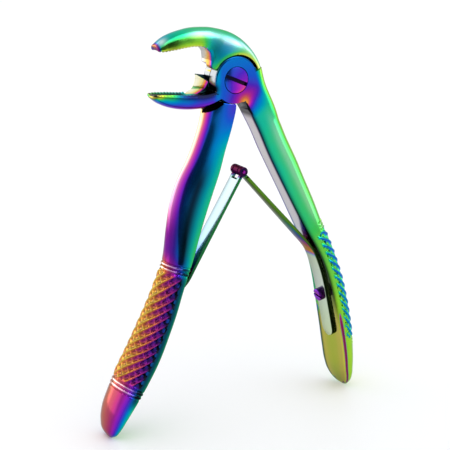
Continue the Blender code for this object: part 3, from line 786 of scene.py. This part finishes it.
UPPER_FILM = (
    (0, (86, 84, 86, 90, 90, 84, 74, 78, 82, 84, 76, 70, 86)),
    (18, (84, 80, 80, 84, 84, 74, 68, 74, 78, 82, 74, 68, 84)),
    (38, (80, 76, 66, 61, 60, 61, 65, 72, 76, 80, 70, 64, 80)),
    (52, (84, 78, 70, 66, 64, 66, 68, 73, 76, 80, 70, 66, 84)),
    (66, (99, 95, 86, 83, 81, 76, 70, 73, 75, 80, 72, 70, 88)),
    (82, (100, 97, 87, 82, 80, 74, 70, 69, 67, 74, 72, 72, 90)),
    (93, (100, 97, 90, 84, 80, 73, 66, 64, 62, 66, 70, 74, 92)),
    (97, (100, 97, 92, 84, 78, 70, 65, 62, 61, 64, 70, 74, 92)),
    (100, (22, 22, 24, 28, 27, 24, 20, 12, 8, 12, 50, 30, 22)),
)
LOWER_FILM = (
    (0, (54, 50, 47, 45, 43, 37, 32, 28, 26, 32, 46, 56, 60)),
    (35, (60, 54, 49, 46, 43, 38, 33, 28, 26, 32, 46, 60, 66)),
    (60, (80, 72, 64, 57, 51, 45, 39, 33, 29, 34, 48, 66, 80)),
    (82, (90, 86, 80, 72, 61, 52, 45, 38, 33, 38, 52, 72, 90)),
    (95, (99, 98, 98, 92, 80, 64, 54, 48, 44, 48, 60, 80, 94)),
    (100, (99, 99, 100, 102, 105, 108, 106, 104, 102, 90, 70, 90, 99)),
)


def film_at(table, columns, along, psi):
    """A value from a table over place along a form and angle round it."""
    places = np.array([row[0] for row in table], dtype=float)
    values = np.array([np.interp(psi, columns, row[1]) for row in table]) / 100
    at = np.interp(along, places, np.arange(len(places)))
    low = np.clip(at.astype(int), 0, len(places) - 2)
    t = at - low
    t = t * t * (3 - 2 * t)
    pick = np.arange(len(psi))
    return values[low, pick] * (1 - t) + values[low + 1, pick] * t


def paint(obj, phase, pale, dark):
    """Keeps the film's phase, and how pale and how dark it is, at each vertex; the dark share carries
    painted shade besides darker tones, and the pale share carries painted highlights besides pale walls.
    """
    layer = obj.data.attributes.new("film", "FLOAT_VECTOR", "POINT")
    layer.data.foreach_set("vector", np.column_stack([phase, pale, dark]).astype(np.float32).ravel())


def hump(value, centre, width):
    """A smooth hump of height 1."""
    return np.exp(-(((value - centre) / width) ** 2))


def with_painted_highlight(pale, dark, painted_highlight):
    """Bare-looking walls are held down by the dark share; a painted highlight keeps the full pale tint."""
    held = 1 - (1 - dark.clip(0, 1)) * (1 - WALL_HOLD * pale.clip(0, 1))
    return np.maximum(pale, painted_highlight).clip(0, 1), np.where(painted_highlight > pale, dark, held).clip(0, 1)


def paint_upper(obj, mask, ridge, flank, bead):
    """Film of the upper lever: the handle's colours give way to the head's above the joint."""
    p, n = vertex_data(obj)
    x, y, z = p.T
    nx, ny, nz = n.T
    s, psi, _, _ = handle_section(p, LEFT_HANDLE, -1)
    handle = film_at(LEFT_FILM, AROUND, s, psi) + mask * (0.06 * flank - 0.18 * ridge ** 3)
    place, around = form_section(p, UPPER_FORM)
    head = film_at(UPPER_FILM, HEAD_AROUND, 100 * place, around)
    share = rise(z, -1.5, 2.0)
    shank = 1 - share
    phase = mixed(handle, head, share)
    r = np.hypot(x, z)
    near_rim = hump(r, SEAT_RADIUS + 0.4, 0.7) * (y < -1.5) * share
    phase = mixed(phase, 0.79 + 0.13 * rise(x, -2.5, 3.0), near_rim)
    # Painted shade: dark reflections along the handle's flanks and on the head, the knurl darker and most in
    # its valleys, and the beak's toothed inner edge.
    dark = shank * hump(psi, -72, 22) * 0.3 * span(s, 6, 14, 48, 64)
    dark += shank * hump(psi, -120, 20) * 0.84 * span(s, 57, 64, 101, 106)
    dark += mask * (0.40 + 0.26 * (1 - ridge)) * np.interp(psi, [-100, -40, 20], [1.15, 1.05, 0.95])
    dark += shank * hump(psi, -94, 24) * 0.8 * span(s, 20, 34, 57, 61)
    dark += shank * 0.5 * rise(s, 38, 50) * rise(psi, -75, -45) * (1 - mask)
    dark += share * hump(place, 0.46, 0.08) * hump(around, -100, 34) * 0.55
    dark += share * hump(place, 0.88, 0.07) * hump(around, -105, 34) * 0.65
    edges = rise(np.abs(around), 146, 160) * rise(place, 0.55, 0.62)
    dark = np.maximum(dark, share * edges * 0.7)
    # Painted shade in the room for the other beak's root.
    shelf = np.interp(x, *np.array(ROOT_LINE).T) - np.where(y < 0, NEAR_ROOT_GAP, ROOT_GAP)
    shaded_recess = (x > -12.6) & (x < -2.5) & (z < -1) & (z > shelf - 0.12) & (r > DISC_RADIUS)
    dark = np.where(shaded_recess, SHADE, dark)
    # The far lap's face and wall, with painted shade at the wall's foot, and painted shade in what shows
    # round the near lap.
    lap = (r < DISC_RADIUS + 0.15) & (y > -1)
    flat = lap & (ny > 0.7)
    phase = np.where(flat, 0.53 + 0.012 * x - 0.012 * z, phase)
    dark = np.where(flat, 0, dark)
    wall = lap & (ny < 0.7) & (x < -3)
    pale = np.where(wall, WALL_PALE, 0.0)
    dark = np.where(wall, np.where(z < 0.9 + 0.18 * y, SHADE, 0.62), dark)
    shaded_seat_floor = (np.abs(y) < 0.4) & (ny < -0.7) & (r < SEAT_RADIUS + np.where(x > 0.2, 1.0, 0.1))
    dark = np.where(shaded_seat_floor, GAP_SHADE, dark)
    gap = (y < 0) & (r < SEAT_RADIUS + 0.9) & (x * nx + z * nz < -0.4 * r) & (z > 1.5) & (x > 0.4)
    dark = np.where(gap, GAP_SHADE, dark)
    # The throat's wall, from its near edge to its far one.
    throat = (nx < -0.45) & (x > -10.5) & (x < -6.5) & (z > 2.5) & (z < 10.5)
    orders = np.interp(rise(y, -3.5, 2.6), [0, 0.02, 0.06, 0.2, 0.5, 1], [0.62, 0.5, 0.24, 0.1, 0.02, 0.0])
    phase = np.where(throat, orders, phase)
    pale = np.where(throat, rise(y + 0.4 * (z - 6), -0.5, 3.0) * 0.9, pale)
    dark = np.where(throat, 0.5 - 0.3 * rise(z, 7, 9), dark)
    # Painted highlights on the head, the shank and the grip's rings, and painted shade by the beak's tip and
    # on the rings' near side.
    painted_highlight = share * 0.2 * hump(around, -60, 24) * rise(0.8 - place, 0, 0.16)
    painted_highlight += share * 0.1 * hump(around, -72, 26) * hump(place, 0.28, 0.12)
    dark += share * 0.62 * rise(place, 0.972, 0.992)
    dark += share * 0.3 * hump(place, 0.86, 0.06) * hump(around, -62, 30)
    painted_highlight *= 1 - 0.85 * hump(place, 0.42, 0.15) * rise(-around, 60, 76)
    painted_highlight += share * 0.5 * hump(around, -34, 26) * hump(place, 0.945, 0.035)
    painted_highlight += shank * 0.3 * hump(psi, -6, 15) * span(s, 8, 14, 38, 50)
    rings = bead * hump(psi, -5, 62)
    painted_highlight += shank * 0.6 * rings
    dark -= 0.4 * rings
    dark += 0.7 * bead * rise(-psi, 85, 110)
    paint(obj, phase, *with_painted_highlight(pale, dark, painted_highlight))


def paint_lower(obj, mask, ridge, flank, bead):
    """Film of the lower lever: the joint's boss, with the beak to its left and the handle below."""
    p, n = vertex_data(obj)
    x, y, z = p.T
    nx, ny, nz = n.T
    s, psi, _, _ = handle_section(p, RIGHT_HANDLE, 1)
    handle = film_at(RIGHT_FILM, AROUND, s, psi)
    handle -= mask * (0.2 + 0.14 * flank) * rise(ridge, 0.05, 0.6)
    place, around = form_section(p, LOWER_FORM)
    head = film_at(LOWER_FILM, HEAD_AROUND, 100 * place, around)
    r = np.hypot(x, z)
    # Boss round the screw.
    glow = hump(np.hypot(x - 3.8, z + 7.4), 0, 4.9)
    boss = 0.505 - 0.37 * glow + 0.13 * rise(-x, 4.6, 7.2) * rise(z + 7, 0, 5)
    boss += 0.03 * rise(z, 2, 7)
    to_head = rise(-x, 5.6, 8.4)
    to_handle = np.maximum(rise(0.55 * x - z, 6.2, 11.5), rise(x + 0.25 * z, 6.6, 8.8))
    phase = mixed(boss, head, to_head)
    phase = mixed(phase, handle, to_handle)
    # A gold spot on the crotch's fillet, a painted highlight.
    crotch = hump(np.hypot(x - 3.0, z + 7.1), 0, 1.79) * (y < 1)
    phase = mixed(phase, 0.05, crotch)
    # The handle's inner face, pale and with painted shade along its edges.
    inner = rise(np.abs(psi), 140, 150) * rise(s, 9, 13)
    pale = inner * np.interp(s, [10, 25, 55, 70, 88, 96], [0.8, 0.92, 0.88, 0.62, 0.15, 0.0])
    near_corner_shade = np.interp(s, [10, 80, 92, 100], [SHADE, SHADE, 0.4, 0.1])
    dark = hump(psi, -138.5, 9.0) * rise(s, 8, 12) * near_corner_shade
    dark += hump(psi, 141, 6) * rise(s, 8, 12) * 0.45
    # Painted shade in the crotch of the handles, on the boss's upper rim, in the gap round the near lap and
    # in the knurl's valleys; the boss darker round its orange patch.
    crotch_shade = (x > 2.2) & (z > -13.5) & (z < -6.4) & (nx * 0.9 + nz * 0.43 < -0.5)
    crotch_shade &= r > DISC_RADIUS - 0.05
    dark = np.where(crotch_shade, np.maximum(dark, 0.99 * rise(z, -13.4, -10.5)), dark)
    dark += 0.52 * glow * (1 - to_handle) * (1 - crotch)
    bow = (r > DISC_RADIUS - 0.45) & (r < DISC_RADIUS + 0.05) & (y < -3.3) & (z > 2.0)
    dark = np.maximum(dark, 0.55 * bow)
    shaded_rim_gap = (r > DISC_RADIUS - 0.12) & (y < 0) & (np.abs(ny) < 0.5) & (z > 2.2) & (x > 0.0)
    dark = np.where(shaded_rim_gap, GAP_SHADE, dark)
    dark += mask * 0.12 * (1 - ridge)
    # Beak: painted shade along its upper rim, darker at its tip.
    top_rim_shade = to_head * hump(around, -132, 26) * (1 - rise(place, 0.5, 0.78))
    phase = mixed(phase, 0.45, top_rim_shade)
    dark = np.maximum(dark, top_rim_shade * 0.96)
    dark += to_head * 0.5 * hump(around, -124, 22) * rise(place, 0.52, 0.72)
    dark += to_head * 0.55 * rise(place, 0.93, 0.97)
    # Handle end.
    outline = np.maximum(hump(psi, -128, 6), hump(psi, 138, 9)) * rise(s, 84, 92)
    phase = np.where(outline > 0.4, 0.22, phase)
    dark = np.maximum(dark * (1 - outline), 0.8 * outline)
    field = rise(np.abs(psi), 134, 142) * rise(s, 84, 92)
    phase = mixed(phase, np.interp(np.abs(psi), [140, 150, 160, 180], [0.98, 0.97, 0.93, 0.91]), field)
    dark = np.maximum(dark, field * 0.4)
    # Wall of the near lap, with painted shade at its foot, and painted shade under the beak's root beside it
    # and on the beak's toothed inner edge.
    lap_wall = (r > DISC_RADIUS - 0.2) & (r < DISC_RADIUS + 0.25) & (y < 0) & (ny > -0.5)
    lap_wall &= (x < -3) & (z > -3.0)
    pale = np.where(lap_wall, WALL_PALE, pale)
    dark = np.where(lap_wall, np.interp(z, [-1.6, 0.2], [SHADE, 0.66]), dark)
    root = (1.7 * hump(x, -7.9, 1.7) * hump(z, -2.1, 1.5)).clip(0, 1) * (y < 0.35)
    shelf = (x > -13.0) & (x < -6.0) & (z > -4.4) & (z < 0.3) & (r > DISC_RADIUS)
    shelf &= (y < 0.4) & ((y > -3.3) | (nz > 0.35))
    root = np.maximum(root, shelf)
    dark = np.maximum(dark, root * SHADE)
    edges = rise(np.abs(around), 133, 142) * rise(place, 0.48, 0.58) * (nz > 0)
    dark = np.maximum(dark, to_head * edges * 0.92)
    # A painted highlight down the handle's front.
    painted_highlight = 0.16 * hump(psi, -80, 18) * span(s, 12, 24, 50, 60) * to_handle
    # The shoulder's wall with a painted highlight, and its top face in painted shade; painted highlights on
    # the grip's rings.
    wall = (y > 0.35) & (x < -5.0) & (x > -14.2) & (z > -3.75) & (np.abs(ny) < 0.85)
    edge = (y - 0.2) / (JOINT_HALF - 0.4)
    lip = (1 - edge) * (-0.9 - 0.194 * (x + 4.0)) + edge * (1.2 - 0.145 * (x + 4.0))
    top = wall & (z > np.minimum(lip, -x * math.tan(math.radians(180 - SHOULDER_TOP_ANGLE))) - 0.3)
    wall &= ~top
    orders = np.interp(rise(y, 0.2, 3.6), [0, 0.05, 0.14, 0.3, 0.31, 1], [0.3, 0.22, 0.1, 0.0, 1.0, 0.97])
    phase = np.where(wall, orders, phase)
    pale = np.where(wall | top, 0.0, pale)
    dark = np.where(top, 0.9, np.where(wall, 0.0, dark))
    painted_highlight = np.where(wall, 0.6 * rise(y, 0.9, 3.2), painted_highlight)
    painted_highlight += 0.3 * bead * hump(psi, -50, 40)
    paint(obj, phase, *with_painted_highlight(pale, dark, painted_highlight))


def paint_leaf(obj, table, start, way, face_phase):
    """Temper colours along a leaf, by distance past its bend, with painted shade from the table; its edges
    are darker with painted shade.
    """
    p, n = vertex_data(obj)
    x, _, z = p.T
    nx, ny, nz = n.T
    along = (x - start[0]) * way[0] + (z - start[1]) * way[1]
    places, values, pales, darks = np.array(table, dtype=float).T
    phase, pale, dark = (np.interp(along, places, column) for column in (values, pales, darks))
    edge = rise(np.abs(ny), 0.55, 0.85)
    phase = mixed(phase, face_phase, edge)
    pale = pale * (1 - edge)
    dark = mixed(dark, np.interp(along, [-6, 0, 10, 30], [SHADE, 0.9, 0.72, 0.66]), edge)
    knuckle = rise(-np.hypot(x - APEX[0], z - APEX[1]), -2.4, -1.7)
    phase = mixed(phase, 0.34 + 0.1 * nx - 0.12 * nz, knuckle)
    pale = pale * (1 - knuckle)
    dark = mixed(dark, 0.93, knuckle)
    paint(obj, phase, *with_painted_highlight(pale, dark, 0 * along))


# ---- material


FILM_COLOURS = (
    (0.00, (0.68, 0.44, 0.05)), (0.07, (0.76, 0.31, 0.04)),
    (0.14, (0.70, 0.15, 0.07)), (0.21, (0.62, 0.05, 0.22)),
    (0.28, (0.44, 0.02, 0.40)), (0.35, (0.22, 0.015, 0.45)),
    (0.42, (0.07, 0.02, 0.48)), (0.49, (0.01, 0.08, 0.54)),
    (0.56, (0.00, 0.20, 0.52)), (0.63, (0.00, 0.33, 0.40)),
    (0.70, (0.01, 0.45, 0.24)), (0.77, (0.04, 0.47, 0.08)),
    (0.84, (0.22, 0.54, 0.03)), (0.91, (0.50, 0.58, 0.04)),
    (1.00, (0.72, 0.58, 0.09)),
)


def feed(tree, socket, value):
    """Links a node's output to a socket, or sets the socket to a constant."""
    if isinstance(value, bpy.types.NodeSocket):
        tree.links.new(value, socket)
    else:
        socket.default_value = value


def add(tree, kind, **inputs):
    """A shader node with inputs fed by name."""
    node = tree.nodes.new("ShaderNode" + kind)
    for key, value in inputs.items():
        feed(tree, node.inputs[key.replace("_", " ")], value)
    return node


def maths(tree, operation, *values):
    """Output of a maths node."""
    node = add(tree, "Math")
    node.operation = operation
    for socket, value in zip(node.inputs, values):
        feed(tree, socket, value)
    return node.outputs[0]


def mix_colour(tree, share, below, above):
    """Colour output of a mix: below at share 0, above at share 1."""
    node = add(tree, "Mix")
    node.data_type = "RGBA"
    for key, value in (("Factor", share), ("A", below), ("B", above)):
        feed(tree, node.inputs[key], value)
    return node.outputs["Result"]


def film_material(name, roughness, mottle, scratch, rim):
    """Oxide film on polished steel: hue from the film's phase, with faint mottling and polishing marks."""
    made = bpy.data.materials.new(name)
    made.use_nodes = True
    tree = made.node_tree
    shader = tree.nodes["Principled BSDF"]
    film = add(tree, "Attribute")
    film.attribute_name = "film"
    phase, pale, dark = add(tree, "SeparateXYZ", Vector=film.outputs["Vector"]).outputs
    place = add(tree, "TexCoord").outputs["Object"]

    clouds = add(tree, "TexNoise", Vector=place, Scale=190.0, Detail=3.0, Roughness=0.55)
    grain = add(tree, "TexNoise", Vector=place, Scale=1500.0, Detail=2.0, Roughness=0.6)
    drift = maths(tree, "MULTIPLY", maths(tree, "SUBTRACT", clouds.outputs["Fac"], 0.5), mottle)
    hues = add(tree, "ValToRGB", Fac=maths(tree, "ADD", phase, drift))
    stops = hues.color_ramp.elements
    for place_on, colour in FILM_COLOURS[1:-1]:
        stops.new(place_on).color = (*colour, 1.0)
    stops[0].color = (*FILM_COLOURS[0][1], 1.0)
    stops[len(stops) - 1].color = (*FILM_COLOURS[-1][1], 1.0)
    # Pale mixes towards white and carries the painted highlights; the dark share mixes towards black and
    # carries the painted shade.
    tinted = mix_colour(tree, pale, hues.outputs["Color"], (1.0, 1.0, 1.0, 1.0))
    feed(tree, shader.inputs["Base Color"], mix_colour(tree, dark, tinted, (0.004, 0.005, 0.008, 1.0)))

    shader.inputs["Metallic"].default_value = 1.0
    shader.inputs["Specular Tint"].default_value = (rim, rim, rim, 1.0)
    gloss = maths(tree, "ADD", maths(tree, "MULTIPLY", grain.outputs["Fac"], 0.06), roughness)
    feed(tree, shader.inputs["Roughness"], gloss)
    stretch = add(tree, "Mapping", Vector=place, Scale=(5200.0, 900.0, 700.0))
    marks = add(tree, "TexNoise", Vector=stretch.outputs["Vector"], Scale=1.0, Detail=2.0)
    bump = add(tree, "Bump", Height=marks.outputs["Fac"], Strength=scratch, Distance=0.00002)
    feed(tree, shader.inputs["Normal"], bump.outputs["Normal"])
    return made


# ---- the pieces


def finish_piece(obj, material, body, slot_name, *nodes):
    """Gives a piece its material, hangs it on its body when given one body's name and else only bakes its
    placement, and hides the CAD nodes it replaces; slot_name is not used.
    """
    obj.data.materials.clear()
    obj.data.materials.append(material)
    if isinstance(body, str):
        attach(obj, body)
    else:
        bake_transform(obj)
    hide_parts(*nodes)


for build, colour, stations, side, rings, ring_edge, lever, node in (
    (upper_head, paint_upper, LEFT_HANDLE, -1, RINGS_LEFT, 137.0, "upper_lever", "upper_beak_lever"),
    (lower_head, paint_lower, RIGHT_HANDLE, 1, RINGS_RIGHT, 72.0, "lower_lever", "lower_beak_lever"),
):
    forging = build()
    colour(forging, *emboss(forging, stations, side, rings, ring_edge))
    polish(forging, 38)
    finish_piece(forging, film_material(lever + "_film", 0.13, 0.03, 0.06, 0.75), lever, lever, node)

screw_film = film_material("pivot_screw_film", 0.16, 0.02, 0.05, 0.8)
finish_piece(pivot_screw(), screw_film, "upper_lever", "pivot_screw", "pivot_screw")

# The left leaf ends in two lugs and the right one in a tongue between them.
lug = (TONGUE_HALF + LUG_GAP, LEAF_HALF)
lugs = [(-lug[1], -lug[0]), lug]
tongue = [(-TONGUE_HALF, TONGUE_HALF)]
beside = [(-4.0, -TONGUE_HALF), (TONGUE_HALF, 4.0)]
for shape, temper, face_phase, bodies, slot_name, nodes in (
    (("left_leaf_spring", LEFT_HANDLE, -1, lugs, [(-lug[0], lug[0])], 1.0, 0.05, 0.08), LEFT_TEMPER, 0.76,
     ("upper_lever", "left_leaf"), "left_leaf", ("left_spring_foot", "left_spring_blade")),
    (("right_leaf_spring", RIGHT_HANDLE, 1, tongue, beside, 0.0, 0.4, 0.42), RIGHT_TEMPER, 0.84,
     ("lower_lever", "right_leaf"), "right_leaf", ("right_spring_foot", "right_spring_blade")),
):
    strip, start, way = leaf(*shape)
    paint_leaf(strip, temper, start, way, face_phase)
    polish(strip, 40)
    flex = Vector(JOINTS[slot_name + "_flex"]["pos_m"])
    reach = Vector((way[0], 0.0, way[1])) * 2.0 * MM
    leaf_film = film_material(slot_name + "_film", 0.16, 0.02, 0.05, 0.45)
    finish_piece(strip, leaf_film, (*bodies, tuple(flex - reach), tuple(flex + reach)), slot_name, *nodes)

pin_film = film_material("hinge_pin_film", 0.2, 0.02, 0.05, 0.8)
finish_piece(hinge_pin(), pin_film, "left_leaf", "left_leaf", "spring_hinge_pin")

small = film_material("small_screw_film", 0.18, 0.03, 0.06, 0.8)
for hand, stations, side, body in (
    ("left", LEFT_HANDLE, -1, "upper_lever"),
    ("right", RIGHT_HANDLE, 1, "lower_lever"),
):
    small_screw = spring_screw(hand + "_spring_screw_slotted", stations, side)
    finish_piece(small_screw, small, body, "small_screws", hand + "_spring_screw")


# ---- camera, floor and light


camera_data = bpy.data.cameras.new("camera")
camera = placed("camera", camera_data)
camera_data.lens = 111.49
camera_data.sensor_width = 36.0
camera_data.clip_start = 0.01
YAW, PITCH = math.radians(29.51), math.radians(16.224)
camera.location = PIVOT + Vector((-204.65, -358.46, 74.38)) * MM
look = Vector((math.sin(YAW) * math.cos(PITCH), math.cos(YAW) * math.cos(PITCH), -math.sin(PITCH)))
camera.rotation_euler = look.to_track_quat("-Z", "Y").to_euler()
bpy.context.scene.camera = camera


def card(name, azimuth, height, distance, width, tall, strength, soft):
    """A panel facing the object, seen in reflections only; azimuth is from the viewer, right positive."""
    angle = math.radians(azimuth)
    viewer = Vector((-math.sin(YAW), -math.cos(YAW), 0))
    right = Vector((math.cos(YAW), -math.sin(YAW), 0))
    mesh = bpy.data.meshes.new(name)
    mesh.from_pydata([(width / 2 * x, tall / 2 * y, 0) for x, y in CORNERS], [], [(0, 1, 2, 3)])
    obj = placed(name, mesh)
    obj.location = (viewer * math.cos(angle) + right * math.sin(angle)) * distance + Vector((0, 0, height))
    obj.rotation_euler = (Vector((0, 0, 0.07)) - obj.location).to_track_quat("Z", "Y").to_euler()
    made = bpy.data.materials.new(name)
    made.use_nodes = True
    tree = made.node_tree
    tree.nodes.remove(tree.nodes["Principled BSDF"])
    place = add(tree, "TexCoord").outputs["Generated"]
    parts = add(tree, "SeparateXYZ", Vector=place)
    fades = []
    for axis in "XY":
        off = maths(tree, "ABSOLUTE", maths(tree, "SUBTRACT", parts.outputs[axis], 0.5))
        fall = add(tree, "MapRange", Value=off, From_Min=0.5, From_Max=0.5 - soft)
        fall.interpolation_type = "SMOOTHSTEP"
        fades.append(fall.outputs[0])
    mix = add(tree, "MixShader", Fac=maths(tree, "MULTIPLY", *fades))
    feed(tree, mix.inputs[1], add(tree, "BsdfTransparent").outputs[0])
    lit = add(tree, "Emission", Color=(1.0, 1.0, 1.0, 1.0), Strength=strength)
    feed(tree, mix.inputs[2], lit.outputs[0])
    feed(tree, tree.nodes["Material Output"].inputs["Surface"], mix.outputs[0])
    obj.data.materials.append(made)
    obj.visible_camera = obj.visible_shadow = obj.visible_diffuse = False


card("flag_front", 27, 0.14, 0.62, 0.52, 1.0, 0.12, 0.14)
card("softbox_left", -92, 0.2, 0.62, 0.95, 0.9, 2.2, 0.3)
card("softbox_far_left", -121, 0.2, 0.5, 0.34, 0.75, 4.2, 0.3)
card("softbox_right", 106, 0.2, 0.7, 0.42, 0.9, 2.8, 0.3)
card("softbox_top", 62, 0.6, 0.5, 0.8, 0.85, 4.2, 0.3)

bpy.ops.mesh.primitive_plane_add(size=8, location=(0, 0, 0))
floor = bpy.context.object
floor.name = "floor"
paper = bpy.data.materials.new("paper")
paper.use_nodes = True
paper_shader = paper.node_tree.nodes["Principled BSDF"]
paper_shader.inputs["Base Color"].default_value = (0.955, 0.957, 0.962, 1)
paper_shader.inputs["Roughness"].default_value = 0.55
floor.data.materials.append(paper)

world = bpy.data.worlds.new("studio")
bpy.context.scene.world = world
world.use_nodes = True
sky = world.node_tree.nodes["Background"].inputs
sky["Color"].default_value = (0.985, 0.99, 1.0, 1)
sky["Strength"].default_value = 1.1
bpy.context.scene.view_settings.view_transform = "Standard"
